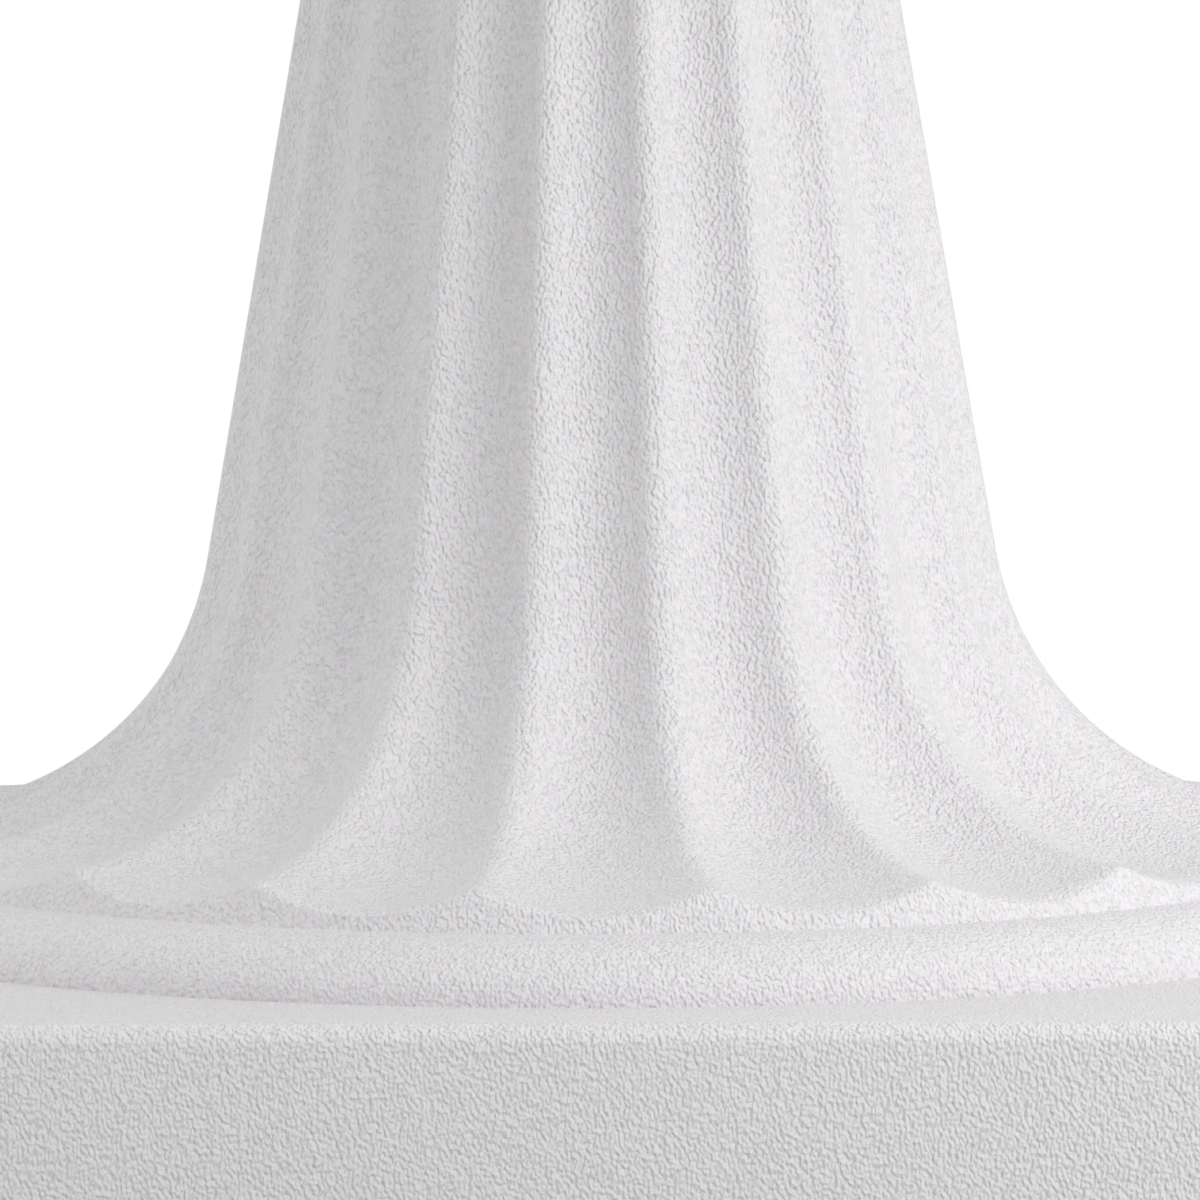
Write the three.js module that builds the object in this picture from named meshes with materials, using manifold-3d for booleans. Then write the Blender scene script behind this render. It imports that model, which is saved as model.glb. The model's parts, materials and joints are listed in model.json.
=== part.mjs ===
// Fluted pedestal urn planter, in millimetres, +Z up.
// A square plinth carries a round base ring, a fluted flared stem, a neck bead and a bell-shaped bowl.
// One tie rod through the hollow stem clamps them together. The origin is on the ground, under the centre.
import * as THREE from "three";
import { mergeVertices } from "three/addons/utils/BufferGeometryUtils.js";
import Module from "manifold-3d";

const wasm = await Module();
wasm.setup();

// ---------- driving dimensions ----------

const seatGap = 0.25; // left between pieces that rest on each other
const wall = 4.5; // moulded wall

const fluteCount = 20;
const segmentsPerFlute = 4;
const fluteDepthFoot = 3.3; // where a flute runs out over the collar
const fluteDepthStem = 3.1; // where the cone meets the flare
const fluteDepthNeck = 2.3;

const footHeight = 3; // rubber foot
const footRadius = 13;
const footChamfer = 1;
const footInset = 22; // foot centre to the plinth's side
const screwRadius = 2;
const screwHeadRadius = 4.2;
const screwHeadHeight = 1.3;
const screwLength = 14;
const screwTip = 2; // height of its point
const pilotSpare = 1; // the pilot hole goes on this far past the screw's point
const bossRadius = 9;

const plinthWidth = 280;
const plinthHeight = 50;
const plinthEdgeRadius = 3;
const plinthCornerRadius = 5;
const plinthInnerCornerRadius = 3;
const weepRadius = 5;
const weepMargin = 4; // weep hole to the anchor bar

const ringMargin = 19.5; // ring to the plinth's side
const ringRound = 12; // width of the ring's quarter round
const ringHeight = 8.6;
const ringBoreMargin = 3; // the ring's bore to a weep hole

const collarLedge = 1; // the ring's level top, left showing around the collar
const collarHeight = 5.8; // stem's edge above the ring, at a ridge
const collarDraft = 2; // how far the collar leans in
const scallopHeight = 0.75; // share of the collar's height where the scallops start
const scallopDepth = 0.7; // share of a flute's depth there
const coneFootRadius = 58.703; // where the cone meets the flare
const coneAngle = THREE.MathUtils.degToRad(9.87); // half angle of the cone
const coneHeight = 100; // straight stretch of the cone
const neckFlareRadius = 30;
const neckFlareEnd = THREE.MathUtils.degToRad(70);
const neckEdge = 3; // upright edge on top of the neck flare
const footWallLoss = 1.5; // the stem's wall thins by this over the flare
const insideFlareEnd = THREE.MathUtils.degToRad(255.6); // where the inside turns down to the ring
const insideNeckEnd = THREE.MathUtils.degToRad(42);

const neckRingStep = 2; // the bead stands this far inside the stem's edge
const neckRingHeight = 12;
const neckRingSeat = 8; // width of the bead's face under the bowl

const bowlBaseStep = 4; // the bowl's base stands this far inside the bead's level top
const cupRadius = 148;
const cupHeight = 80;
const lobeDepth = 4;
const beadRadius = 5;
const throatRadius = 140;
const rimRadius = 225;
const bowlHeight = 303;
const bellEvenShare = 0.25; // of the bell's widening; the rest grows with the cube of the height
const rimRoll = 7; // radius of the rolled rim
const rimOverhang = 2.2 * rimRoll; // the rim beyond the bell's upper end
const rollStart = -0.55 * Math.PI; // the roll's angles, from its underside round to its inside
const rollEnd = 0.75 * Math.PI;
const floorThickness = 5;
const floorMargin = 4; // how far the floor inside stays within the base
const shelfLedgeHeight = 28; // above the bowl's underside
const shelfLedgeDepth = 9; // from the ledge down to the lower cup's edge
const shelfRadius = 110;
const shelfLedgeWidth = 10;
const shelfThickness = 3;
const shelfClearance = 1.2;
const shelfHoleRadius = 5;
const shelfHoleRings = [
  { count: 8, radius: 45 },
  { count: 14, radius: 82 },
];
const fingerHoleRadius = 12;

const rodRadius = 4;
const threadClearance = 0.3;
const rodClearance = 0.6; // in the holes that the rod passes through
const anchorBar = { length: 150, width: 26, thickness: 4 };
const nutFlats = 13;
const nutHeight = 6.5;
const washerThickness = 1.6;
const washerRadius = 11;
const sealThickness = 2;
const sealRadius = 13;
const wingHubRadius = 7.5;
const wingHubHeight = 6;
const wingSpan = 18; // hub axis to a wing's tip
const wingHeight = 9;
const wingThickness = 2.4;
const wingTip = 3; // how far a wing's lower edge slopes in
const wingRise = 2; // run of a wing's upper edge beside the hub
const hubChamfer = 1.5;
const rodAboveSeal = 10;
const rodBelowNut = 4;

const drainHoleRadius = 6;
const drainMargin = 2; // drain hole to the bead's bore
const drainClearance = 0.3;
const drainFlangeWidth = 2;
const plugChamfer = 1;
const plugFlange = { edge: 1.5, middle: 2 }; // thickness
const plugKnob = { neck: 3, neckTop: 4, widest: 4.5, widestAt: 5.5, top: 3.5, height: 7 };

// ---------- heights that follow from them ----------

const plinthBottom = footHeight + seatGap;
const plinthTop = plinthBottom + plinthHeight;
const ringBottom = plinthTop + seatGap;
const stemBottom = ringBottom + ringHeight + seatGap;
const weepOffset = anchorBar.width / 2 + weepRadius + weepMargin;
const ringHoleRadius = weepOffset + weepRadius + ringBoreMargin;
const ringRadius = plinthWidth / 2 - ringMargin;
const ringTopRadius = ringRadius - ringRound;
const rodHoleRadius = rodRadius + rodClearance;

// ---------- helpers ----------

const paint = {
  polymer: new THREE.MeshStandardMaterial({ color: 0xe9e9ea, roughness: 0.6, metalness: 0 }),
  rubber: new THREE.MeshStandardMaterial({ color: 0x2a2a2b, roughness: 0.8, metalness: 0 }),
  steel: new THREE.MeshStandardMaterial({ color: 0xb9bcc0, roughness: 0.35, metalness: 1 }),
};

// A closed geometry as a solid that can be cut and joined.
function solidOf(geometry) {
  const plain = geometry.index ? geometry.toNonIndexed() : geometry.clone();
  plain.deleteAttribute("normal");
  plain.deleteAttribute("uv");
  const merged = mergeVertices(plain, 1e-4);
  return new wasm.Manifold(
    new wasm.Mesh({
      numProp: 3,
      vertProperties: merged.attributes.position.array,
      triVerts: new Uint32Array(merged.index.array),
    }),
  );
}

// A solid back to a geometry.
function geometryOf(solid) {
  const mesh = solid.getMesh();
  return new THREE.BufferGeometry()
    .setAttribute("position", new THREE.BufferAttribute(mesh.vertProperties, 3))
    .setIndex(new THREE.BufferAttribute(mesh.triVerts, 1));
}

function cut(geometry, tools) {
  return geometryOf(tools.reduce((left, tool) => left.subtract(solidOf(tool)), solidOf(geometry)));
}

function join(geometries) {
  const [first, ...rest] = geometries.map(solidOf);
  return geometryOf(rest.reduce((all, next) => all.add(next), first));
}

// An upright cylinder whose base is at z.
function cylinder(radius, height, z = 0, segments = 20) {
  return new THREE.CylinderGeometry(radius, radius, height, segments)
    .rotateX(Math.PI / 2)
    .translate(0, 0, z + height / 2);
}

// An outline of [radius, height] points, turned about +Z.
function turned(outline, segments = 20) {
  const points = outline.map(([radius, height]) => new THREE.Vector2(radius, height));
  return new THREE.LatheGeometry(points, segments).rotateX(Math.PI / 2);
}

// A washer-like ring: a closed rectangular outline turned about +Z.
function flatRing(innerRadius, outerRadius, height, segments = 20) {
  return turned(
    [
      [innerRadius, 0],
      [outerRadius, 0],
      [outerRadius, height],
      [innerRadius, height],
      [innerRadius, 0],
    ],
    segments,
  );
}

// Points on an arc in the outline's plane. Angles are measured from +radius towards +height.
function arc(centre, radius, from, to, steps) {
  return Array.from({ length: steps + 1 }, (_, i) => {
    const angle = from + ((to - from) * i) / steps;
    return [centre[0] + radius * Math.cos(angle), centre[1] + radius * Math.sin(angle)];
  });
}

// An ellipse's quarter, rising from [r0, z0], where it is level, to [r1, z1], where it is upright.
function risingQuarter([r0, z0], [r1, z1], steps) {
  return Array.from({ length: steps + 1 }, (_, i) => {
    const angle = ((Math.PI / 2) * i) / steps;
    return [r0 + (r1 - r0) * Math.sin(angle), z1 - (z1 - z0) * Math.cos(angle)];
  });
}

// Turns an outline and scoops it: each point may carry a depth and the direction it sinks in.
// At the middle of a flute a point sinks by its whole depth, and on a ridge it stays where it is.
function fluted(outline, segments, profile) {
  const geometry = turned(outline.map((point) => point.at), segments);
  const position = geometry.attributes.position;
  for (let i = 0; i < position.count; i++) {
    const { depth = 0, sink = [0, 0] } = outline[i % outline.length];
    if (!depth) continue;
    const x = position.getX(i);
    const y = position.getY(i);
    const radius = Math.hypot(x, y);
    const amount = depth * profile(Math.atan2(x, -y));
    const scale = (radius + sink[0] * amount) / radius;
    position.setXYZ(i, x * scale, y * scale, position.getZ(i) + sink[1] * amount);
  }
  return geometry;
}

// How deep a flute is at an angle from the front: 1 in its middle and 0 on the ridges beside it.
function fluteProfile(angle) {
  const turns = (angle * fluteCount) / (2 * Math.PI);
  const across = 2 * (turns - Math.round(turns));
  return 1 - across * across;
}

// The same for the bowl's lobes, which are full in the middle and sink between them.
function lobeProfile(angle) {
  return 1 - fluteProfile(angle);
}

function mesh(name, geometry, material, position = [0, 0, 0]) {
  const made = new THREE.Mesh(geometry, material);
  made.name = name;
  made.position.set(...position);
  return made;
}

function roundedSquare(width, corner) {
  const half = width / 2;
  const shape = new THREE.Shape();
  const turn = Math.PI / 2;
  shape.absarc(half - corner, half - corner, corner, 0, turn);
  shape.absarc(corner - half, half - corner, corner, turn, 2 * turn);
  shape.absarc(corner - half, corner - half, corner, 2 * turn, 3 * turn);
  shape.absarc(half - corner, corner - half, corner, 3 * turn, 4 * turn);
  shape.closePath();
  return shape;
}

// ---------- plinth, on its feet ----------

const footPlace = plinthWidth / 2 - footInset;
const footCorners = {
  front_left: [-footPlace, -footPlace],
  front_right: [footPlace, -footPlace],
  back_left: [-footPlace, footPlace],
  back_right: [footPlace, footPlace],
};
const pilotRadius = screwRadius + threadClearance;

// An open-bottomed square tray, upside down, with its top edge rounded and a boss over each foot.
function plinth() {
  const bevel = plinthEdgeRadius;
  const block = new THREE.ExtrudeGeometry(roundedSquare(plinthWidth - 2 * bevel, plinthCornerRadius), {
    depth: plinthHeight,
    bevelSize: bevel,
    bevelThickness: bevel,
    bevelSegments: 3,
    curveSegments: 3,
  }).translate(0, 0, -bevel);
  const belowGround = new THREE.BoxGeometry(2 * plinthWidth, 2 * plinthWidth, 4 * bevel)
    .translate(0, 0, -2 * bevel);
  const hollow = new THREE.ExtrudeGeometry(roundedSquare(plinthWidth - 2 * wall, plinthInnerCornerRadius), {
    depth: plinthHeight,
    bevelEnabled: false,
    curveSegments: 3,
  }).translate(0, 0, -wall);
  const corners = Object.values(footCorners);
  const bosses = corners.map(([x, y]) =>
    cylinder(bossRadius, plinthHeight - wall / 2).translate(x, y, 0));
  const pilots = corners.map(([x, y]) =>
    cylinder(pilotRadius, screwLength + 2 * pilotSpare, -pilotSpare, 12).translate(x, y, 0));
  const weeps = [-weepOffset, weepOffset].map((y) =>
    cylinder(weepRadius, 3 * wall, plinthHeight - 2 * wall, 12).translate(0, y, 0));
  const rodHole = cylinder(rodHoleRadius, 3 * wall, plinthHeight - 2 * wall);
  const shell = cut(block, [belowGround, hollow]);
  return cut(join([shell, ...bosses]), [...pilots, ...weeps, rodHole]);
}

// A rubber disc with a sunk hole for its screw, whose head stays a seat gap clear of the ground.
function rubberFoot() {
  const sunk = screwHeadHeight + 2 * seatGap;
  return turned([
    [pilotRadius, sunk],
    [screwHeadRadius + threadClearance, sunk],
    [screwHeadRadius + threadClearance, 0],
    [footRadius - footChamfer, 0],
    [footRadius, footChamfer],
    [footRadius, footHeight],
    [pilotRadius, footHeight],
    [pilotRadius, sunk],
  ]);
}

function footScrew() {
  return turned(
    [
      [0, 0],
      [screwHeadRadius, 0],
      [screwHeadRadius, screwHeadHeight],
      [screwRadius, screwHeadHeight],
      [screwRadius, screwLength - screwTip],
      [0, screwLength],
    ],
    12,
  );
}

// ---------- base ring, stem and neck bead ----------

// A round plate whose edge is a quarter round, level on top and upright at its foot.
function baseRing() {
  const steps = 5;
  const quarter = Array.from({ length: steps + 1 }, (_, i) => {
    const angle = ((Math.PI / 2) * i) / steps;
    return [
      ringTopRadius + ringRound * Math.cos(angle),
      ringHeight * Math.sin(angle),
    ];
  });
  return turned(
    [[ringHoleRadius, 0], ...quarter, [ringHoleRadius, ringHeight], [ringHoleRadius, 0]],
    fluteCount * segmentsPerFlute,
  );
}

// The stem's ridge line, in its own heights: the collar, the flare, the cone and the neck flare.
const collarBottomRadius = ringTopRadius - collarLedge;
const collarTopRadius = collarBottomRadius - collarDraft;
const flareRadius = (collarTopRadius - coneFootRadius) / Math.cos(coneAngle);
const flareCentre = [
  collarTopRadius,
  collarHeight + flareRadius,
];
const coneFoot = [
  coneFootRadius,
  flareCentre[1] - flareRadius * Math.sin(coneAngle),
];
const coneTop = [
  coneFoot[0] - coneHeight * Math.tan(coneAngle),
  coneFoot[1] + coneHeight,
];
const neckCentre = [
  coneTop[0] + neckFlareRadius * Math.cos(coneAngle),
  coneTop[1] + neckFlareRadius * Math.sin(coneAngle),
];
const neckFlareTop = neckCentre[1] + neckFlareRadius * Math.sin(neckFlareEnd);
const neckEdgeRadius = neckCentre[0] - neckFlareRadius * Math.cos(neckFlareEnd);
const stemHeight = neckFlareTop + neckEdge;

// A stretch of ridge along an arc whose centre lies outside the stem, sinking away from that centre.
function ridgeArc(centre, radius, from, to, steps, depthFrom, depthTo) {
  return arc(centre, radius, from, to, steps).map((at, i) => ({
    at,
    depth: depthFrom + ((depthTo - depthFrom) * i) / steps,
    sink: [(at[0] - centre[0]) / radius, (at[1] - centre[1]) / radius],
  }));
}

function stemOutside() {
  const collarMiddle = {
    at: [(collarTopRadius + 2 * collarBottomRadius) / 3, collarHeight * scallopHeight],
    depth: fluteDepthFoot * scallopDepth,
    sink: [0, -1],
  };
  const down = (3 * Math.PI) / 2;
  const coneTangent = Math.PI + coneAngle;
  return [
    { at: [collarBottomRadius, 0] },
    collarMiddle,
    ...ridgeArc(flareCentre, flareRadius, down, coneTangent, 7, fluteDepthFoot, fluteDepthStem),
    ...ridgeArc(
      neckCentre, neckFlareRadius, coneTangent, Math.PI - neckFlareEnd, 4, fluteDepthNeck, fluteDepthNeck),
    { at: [neckEdgeRadius + neckEdge / 3, stemHeight] },
  ];
}

// The inside follows the ridge line a flute's depth and a wall further in, and stays plain.
function stemInside() {
  const inset = fluteDepthStem + wall;
  const coneTangent = Math.PI + coneAngle;
  const footEdge = arc(flareCentre, flareRadius + inset - footWallLoss, coneTangent, insideFlareEnd, 4);
  const neck = arc(neckCentre, neckFlareRadius + inset, Math.PI - insideNeckEnd, coneTangent, 2);
  const footRadiusInside = footEdge.at(-1)[0];
  return [[neck[0][0], stemHeight], ...neck, ...footEdge, [footRadiusInside, 0]].map((at) => ({ at }));
}

function flutedStem() {
  const outside = stemOutside();
  const outline = [...outside, ...stemInside(), outside[0]];
  return fluted(outline, fluteCount * segmentsPerFlute, fluteProfile);
}

const neckRingRadius = neckEdgeRadius - neckRingStep;
const bowlBaseRadius = neckRingRadius - neckRingHeight / 2 - bowlBaseStep;
const neckRingHoleRadius = bowlBaseRadius - neckRingSeat;
const drainOffset = neckRingHoleRadius - drainHoleRadius - drainMargin;

// A half-round bead between the stem and the bowl.
function neckRing() {
  const half = neckRingHeight / 2;
  return turned(
    [
      [neckRingHoleRadius, 0],
      ...arc([neckRingRadius - half, half], half, -Math.PI / 2, Math.PI / 2, 6),
      [neckRingHoleRadius, neckRingHeight],
      [neckRingHoleRadius, 0],
    ],
    40,
  );
}

// ---------- bowl ----------

const beadCentre = cupHeight + beadRadius;
const bellStart = beadCentre + 2 * beadRadius;
const lipCentre = [rimRadius - rimRoll, bowlHeight - rimRoll];
const bellEnd = {
  radius: rimRadius - rimOverhang,
  outside: lipCentre[1] - 0.8 * rimRoll,
  inside: lipCentre[1] - 0.4 * rimRoll,
};
const shelfLedgeInner = shelfRadius - shelfLedgeWidth;

// The bell widens slowly at first and fast towards the lip.
function bell(fromRadius, toRadius, fromHeight, toHeight, steps) {
  return Array.from({ length: steps + 1 }, (_, i) => {
    const rise = i / steps;
    return [
      fromRadius + (toRadius - fromRadius) * (bellEvenShare * rise + (1 - bellEvenShare) * rise ** 3),
      fromHeight + (toHeight - fromHeight) * rise,
    ];
  });
}

function bowlOutside() {
  const cup = risingQuarter([bowlBaseRadius, 0], [cupRadius, cupHeight], 6).map((at, i, all) => {
    const edge = i === 0 || i === all.length - 1;
    const angle = ((Math.PI / 2) * i) / (all.length - 1);
    return { at, depth: edge ? 0 : lobeDepth, sink: [-Math.sin(angle), Math.cos(angle)] };
  });
  const bead = arc([cupRadius, beadCentre], beadRadius, -Math.PI / 2, Math.PI / 2, 3).slice(1);
  const bellOut = bell(throatRadius, bellEnd.radius, bellStart, bellEnd.outside, 5);
  const roll = arc(lipCentre, rimRoll, rollStart, rollEnd, 5);
  return [...cup, ...[...bead, ...bellOut, ...roll].map((at) => ({ at }))];
}

// Down the inside: the bell, the upper cup, the ledge that the shelf sits on, the lower cup and the floor. The
// upper cup stays a lobe's depth and a wall inside the outer one, and stops where it meets the ledge.
function bowlInside() {
  const ledgeOuter = shelfRadius + shelfClearance;
  const bellIn = bell(throatRadius - wall, bellEnd.radius - wall, bellStart, bellEnd.inside, 4).reverse();
  const upperCup = risingQuarter([bowlBaseRadius, floorThickness], [cupRadius - lobeDepth - wall, cupHeight], 6)
    .filter(([radius, height]) => radius > ledgeOuter && height > shelfLedgeHeight)
    .reverse();
  const lowerCup = risingQuarter(
    [bowlBaseRadius - floorMargin, floorThickness],
    [shelfLedgeInner, shelfLedgeHeight - shelfLedgeDepth],
    3,
  ).reverse();
  return [
    ...bellIn,
    ...upperCup,
    [ledgeOuter, shelfLedgeHeight],
    [shelfLedgeInner, shelfLedgeHeight],
    ...lowerCup,
    [0, floorThickness],
  ].map((at) => ({ at }));
}

function bowl() {
  const outline = [{ at: [0, 0] }, ...bowlOutside(), ...bowlInside()];
  const body = fluted(outline, fluteCount * 3, lobeProfile);
  const rodHole = cylinder(rodHoleRadius, 3 * floorThickness, -floorThickness);
  const drain = cylinder(drainHoleRadius, 3 * floorThickness, -floorThickness).translate(0, -drainOffset, 0);
  return cut(body, [rodHole, drain]);
}

// A round grid that keeps soil off the drain: two rings of holes and a larger one to lift it by.
function soilShelf() {
  const plate = cylinder(shelfRadius, shelfThickness, 0, 40);
  const holes = [cylinder(fingerHoleRadius, 3 * shelfThickness, -shelfThickness, 16)];
  for (const { count, radius } of shelfHoleRings) {
    for (let i = 0; i < count; i++) {
      const angle = (2 * Math.PI * i) / count;
      holes.push(
        cylinder(shelfHoleRadius, 3 * shelfThickness, -shelfThickness, 8)
          .translate(radius * Math.cos(angle), radius * Math.sin(angle), 0),
      );
    }
  }
  return cut(plate, holes);
}

// A rubber stopper with a flange and a finger knob, pushed down into the drain hole.
function drainPlug() {
  const shank = drainHoleRadius - drainClearance;
  const flange = drainHoleRadius + drainFlangeWidth;
  return turned([
    [0, -floorThickness],
    [shank - plugChamfer, -floorThickness],
    [shank, plugChamfer - floorThickness],
    [shank, 0],
    [flange, 0],
    [flange, plugFlange.edge],
    [plugKnob.neck, plugFlange.middle],
    [plugKnob.neck, plugKnob.neckTop],
    [plugKnob.widest, plugKnob.widestAt],
    [plugKnob.top, plugKnob.height],
    [0, plugKnob.height],
  ]);
}

// ---------- tie rod and its fastenings ----------

function barWithHole() {
  const bar = new THREE.BoxGeometry(anchorBar.length, anchorBar.width, anchorBar.thickness)
    .translate(0, 0, anchorBar.thickness / 2);
  return cut(bar, [cylinder(rodHoleRadius, 3 * anchorBar.thickness, -anchorBar.thickness)]);
}

function hexNut() {
  const corner = nutFlats / 2 / Math.cos(Math.PI / 6);
  const body = cylinder(corner, nutHeight, 0, 6);
  return cut(body, [cylinder(rodRadius + threadClearance, 3 * nutHeight, -nutHeight)]);
}

// Two blades on a round hub. The right-hand half of their outline is mirrored for the left.
function wingNut() {
  const half = [
    [wingHubRadius, 1],
    [wingSpan - wingTip, wingTip],
    [wingSpan, wingHeight - 1],
    [wingSpan - wingRise, wingHeight],
    [wingHubRadius + wingRise, wingHeight],
    [wingHubRadius - 1, wingHubHeight - 1],
  ];
  const mirrored = half.map(([x, z]) => [-x, z]).reverse();
  const wing = new THREE.Shape([...half, ...mirrored].map(([x, z]) => new THREE.Vector2(x, z)));
  const blades = new THREE.ExtrudeGeometry(wing, { depth: wingThickness, bevelEnabled: false })
    .translate(0, 0, -wingThickness / 2)
    .rotateX(Math.PI / 2);
  const hub = turned([
    [0, 0],
    [wingHubRadius, 0],
    [wingHubRadius, wingHubHeight - hubChamfer],
    [wingHubRadius - hubChamfer, wingHubHeight],
    [0, wingHubHeight],
  ]);
  return cut(join([hub, blades]), [cylinder(rodRadius + threadClearance, 4 * wingHeight, -wingHeight)]);
}

// ---------- assembly ----------

const urn = new THREE.Group();

const foot = new THREE.Group();
foot.add(mesh("plinth", plinth(), paint.polymer, [0, 0, plinthBottom]));
for (const [corner, [x, y]] of Object.entries(footCorners)) {
  foot.add(mesh("rubber_foot_" + corner, rubberFoot(), paint.rubber, [x, y, 0]));
  foot.add(mesh("foot_screw_" + corner, footScrew(), paint.steel, [x, y, seatGap]));
}
urn.add(foot);

const neckRingBottom = stemBottom + stemHeight + seatGap;
const bowlBottom = neckRingBottom + neckRingHeight + seatGap;
urn.add(mesh("base_ring", baseRing(), paint.polymer, [0, 0, ringBottom]));
urn.add(mesh("fluted_stem", flutedStem(), paint.polymer, [0, 0, stemBottom]));
urn.add(mesh("neck_ring", neckRing(), paint.polymer, [0, 0, neckRingBottom]));

const bowlGroup = new THREE.Group();
bowlGroup.position.z = bowlBottom;
const sealBottom = floorThickness + seatGap;
const washerBottom = sealBottom + sealThickness + seatGap;
const wingNutBottom = washerBottom + washerThickness + seatGap;
bowlGroup.add(mesh("bowl", bowl(), paint.polymer));
bowlGroup.add(mesh("soil_shelf", soilShelf(), paint.polymer, [0, 0, shelfLedgeHeight + seatGap]));
bowlGroup.add(mesh("drain_plug", drainPlug(), paint.rubber, [0, -drainOffset, floorThickness + seatGap]));
bowlGroup.add(mesh("seal_washer", flatRing(rodHoleRadius, sealRadius, sealThickness), paint.rubber,
  [0, 0, sealBottom]));
bowlGroup.add(mesh("clamp_washer", flatRing(rodHoleRadius, washerRadius, washerThickness), paint.steel,
  [0, 0, washerBottom]));
bowlGroup.add(mesh("wing_nut", wingNut(), paint.steel, [0, 0, wingNutBottom]));
urn.add(bowlGroup);

const clamp = new THREE.Group();
const barBottom = plinthTop - wall - seatGap - anchorBar.thickness;
const baseWasherBottom = barBottom - seatGap - washerThickness;
const baseNutBottom = baseWasherBottom - seatGap - nutHeight;
const rodBottom = baseNutBottom - rodBelowNut;
const rodTop = bowlBottom + washerBottom + rodAboveSeal;
clamp.add(mesh("anchor_bar", barWithHole(), paint.steel, [0, 0, barBottom]));
clamp.add(mesh("base_washer", flatRing(rodHoleRadius, washerRadius, washerThickness), paint.steel,
  [0, 0, baseWasherBottom]));
clamp.add(mesh("base_nut", hexNut(), paint.steel, [0, 0, baseNutBottom]));
clamp.add(mesh("tie_rod", cylinder(rodRadius, rodTop - rodBottom), paint.steel, [0, 0, rodBottom]));
urn.add(clamp);

export default urn;
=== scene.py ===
# %% [markdown]
# # A fluted pedestal urn in moulded polyethylene
# The urn comes apart on a bench: a square plinth, a round base ring, a fluted stem, a neck bead and a bowl,
# clamped together by one tie rod. Each of them is a moulding of white polyethylene with a fine pebbled
# grain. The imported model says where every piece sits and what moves, so it is loaded first and nothing in
# it is changed. Each plain solid is then replaced by a finer surface in the same place.

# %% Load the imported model
import json

import bpy
import numpy as np
from mathutils import Matrix, Vector


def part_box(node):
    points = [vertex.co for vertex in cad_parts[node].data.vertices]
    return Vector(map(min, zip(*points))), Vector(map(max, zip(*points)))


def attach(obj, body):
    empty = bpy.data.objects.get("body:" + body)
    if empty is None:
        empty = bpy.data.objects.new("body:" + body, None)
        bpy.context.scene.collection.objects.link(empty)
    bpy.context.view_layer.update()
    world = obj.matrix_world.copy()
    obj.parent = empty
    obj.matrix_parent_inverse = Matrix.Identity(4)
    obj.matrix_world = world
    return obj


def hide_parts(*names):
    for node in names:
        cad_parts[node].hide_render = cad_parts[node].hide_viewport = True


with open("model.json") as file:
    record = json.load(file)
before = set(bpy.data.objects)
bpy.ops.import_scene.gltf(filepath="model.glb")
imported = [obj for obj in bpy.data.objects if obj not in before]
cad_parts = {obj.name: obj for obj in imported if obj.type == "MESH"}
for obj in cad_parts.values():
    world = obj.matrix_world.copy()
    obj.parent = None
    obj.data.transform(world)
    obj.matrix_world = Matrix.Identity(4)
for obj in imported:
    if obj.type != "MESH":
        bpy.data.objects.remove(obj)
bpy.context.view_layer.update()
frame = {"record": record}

record = frame["record"]
body_of_node = {node: body for body, nodes in record["behaviour"]["bodies"].items() for node in nodes}
MM = 0.001

# %% [markdown]
# ## Outlines
# A turned moulding is drawn as half of its section: points of radius and height. They could be typed in
# one by one, but then no curve stays true when a size changes. Here an outline is joined from arcs and
# straight stretches, so a fillet is one arc with a radius. An outline that runs up the outside and down
# the inside goes anticlockwise, which turns the faces outwards.

# %% Arcs and straight stretches


def arc(centre, radius, start, end, count):
    """Points at an angle that goes evenly from start to end, in degrees from the outward direction.
    radius may be a pair: then the arc is part of an ellipse with those half widths."""
    angle = np.radians(np.linspace(start, end, count))
    half = np.broadcast_to(radius, 2)
    return np.stack([centre[0] + half[0] * np.cos(angle), centre[1] + half[1] * np.sin(angle)], 1)


def straight(start, end, count=2):
    """Points spaced evenly from start to end."""
    share = np.linspace(0, 1, count)[:, None]
    return np.asarray(start) * (1 - share) + np.asarray(end) * share


def outline(*stretches):
    """Joins stretches end to end, and drops a point that repeats the one before it."""
    points = np.concatenate([np.atleast_2d(stretch) for stretch in stretches])
    step = np.linalg.norm(np.diff(points, axis=0), axis=1)
    return points[np.append(True, step > 1e-7)]


# %% [markdown]
# ## From an outline to a mesh
# A grid of points, with one row for each outline point and one column for each angle, is enough for every
# round piece. Turning is x = r sin a and y = -r cos a, so that angle 0 faces the front. Fluting moves the
# points before the faces are made. One function then lays quads over the grid, wraps it round, and closes
# it either into a loop, for a piece with a hole through it, or with a point at each end.

# %% Grids and their faces


def around(radius, angle, height, centre=(0.0, 0.0)):
    """Points about an upright axis: x = r sin a and y = -r cos a, counted from the centre."""
    x = centre[0] + radius * np.sin(angle)
    y = centre[1] - radius * np.cos(angle)
    return np.stack([x, y, np.broadcast_to(height, x.shape)], 2)


def full_turn(columns):
    """Angles spaced evenly round a full turn, without the last, which is the first again."""
    return np.linspace(0, 2 * np.pi, columns, endpoint=False)


def turned(points, columns=96, centre=(0.0, 0.0)):
    """Turns an outline about an upright axis: a row for each point and a column for each angle."""
    return around(points[:, 0, None], full_turn(columns), points[:, 1, None], centre)


def faces_of(rows, columns, loop, first):
    """Quads between each row and the next, and each column and the next, counted from first."""
    row = np.arange(rows if loop else rows - 1)[:, None]
    column = np.arange(columns)[None, :]
    next_row, next_column = (row + 1) % rows, (column + 1) % columns
    corners = [row * columns + column, row * columns + next_column,
               next_row * columns + next_column, next_row * columns + column]
    return (np.stack(np.broadcast_arrays(*corners), 2) + first).reshape(-1, 4)


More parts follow.
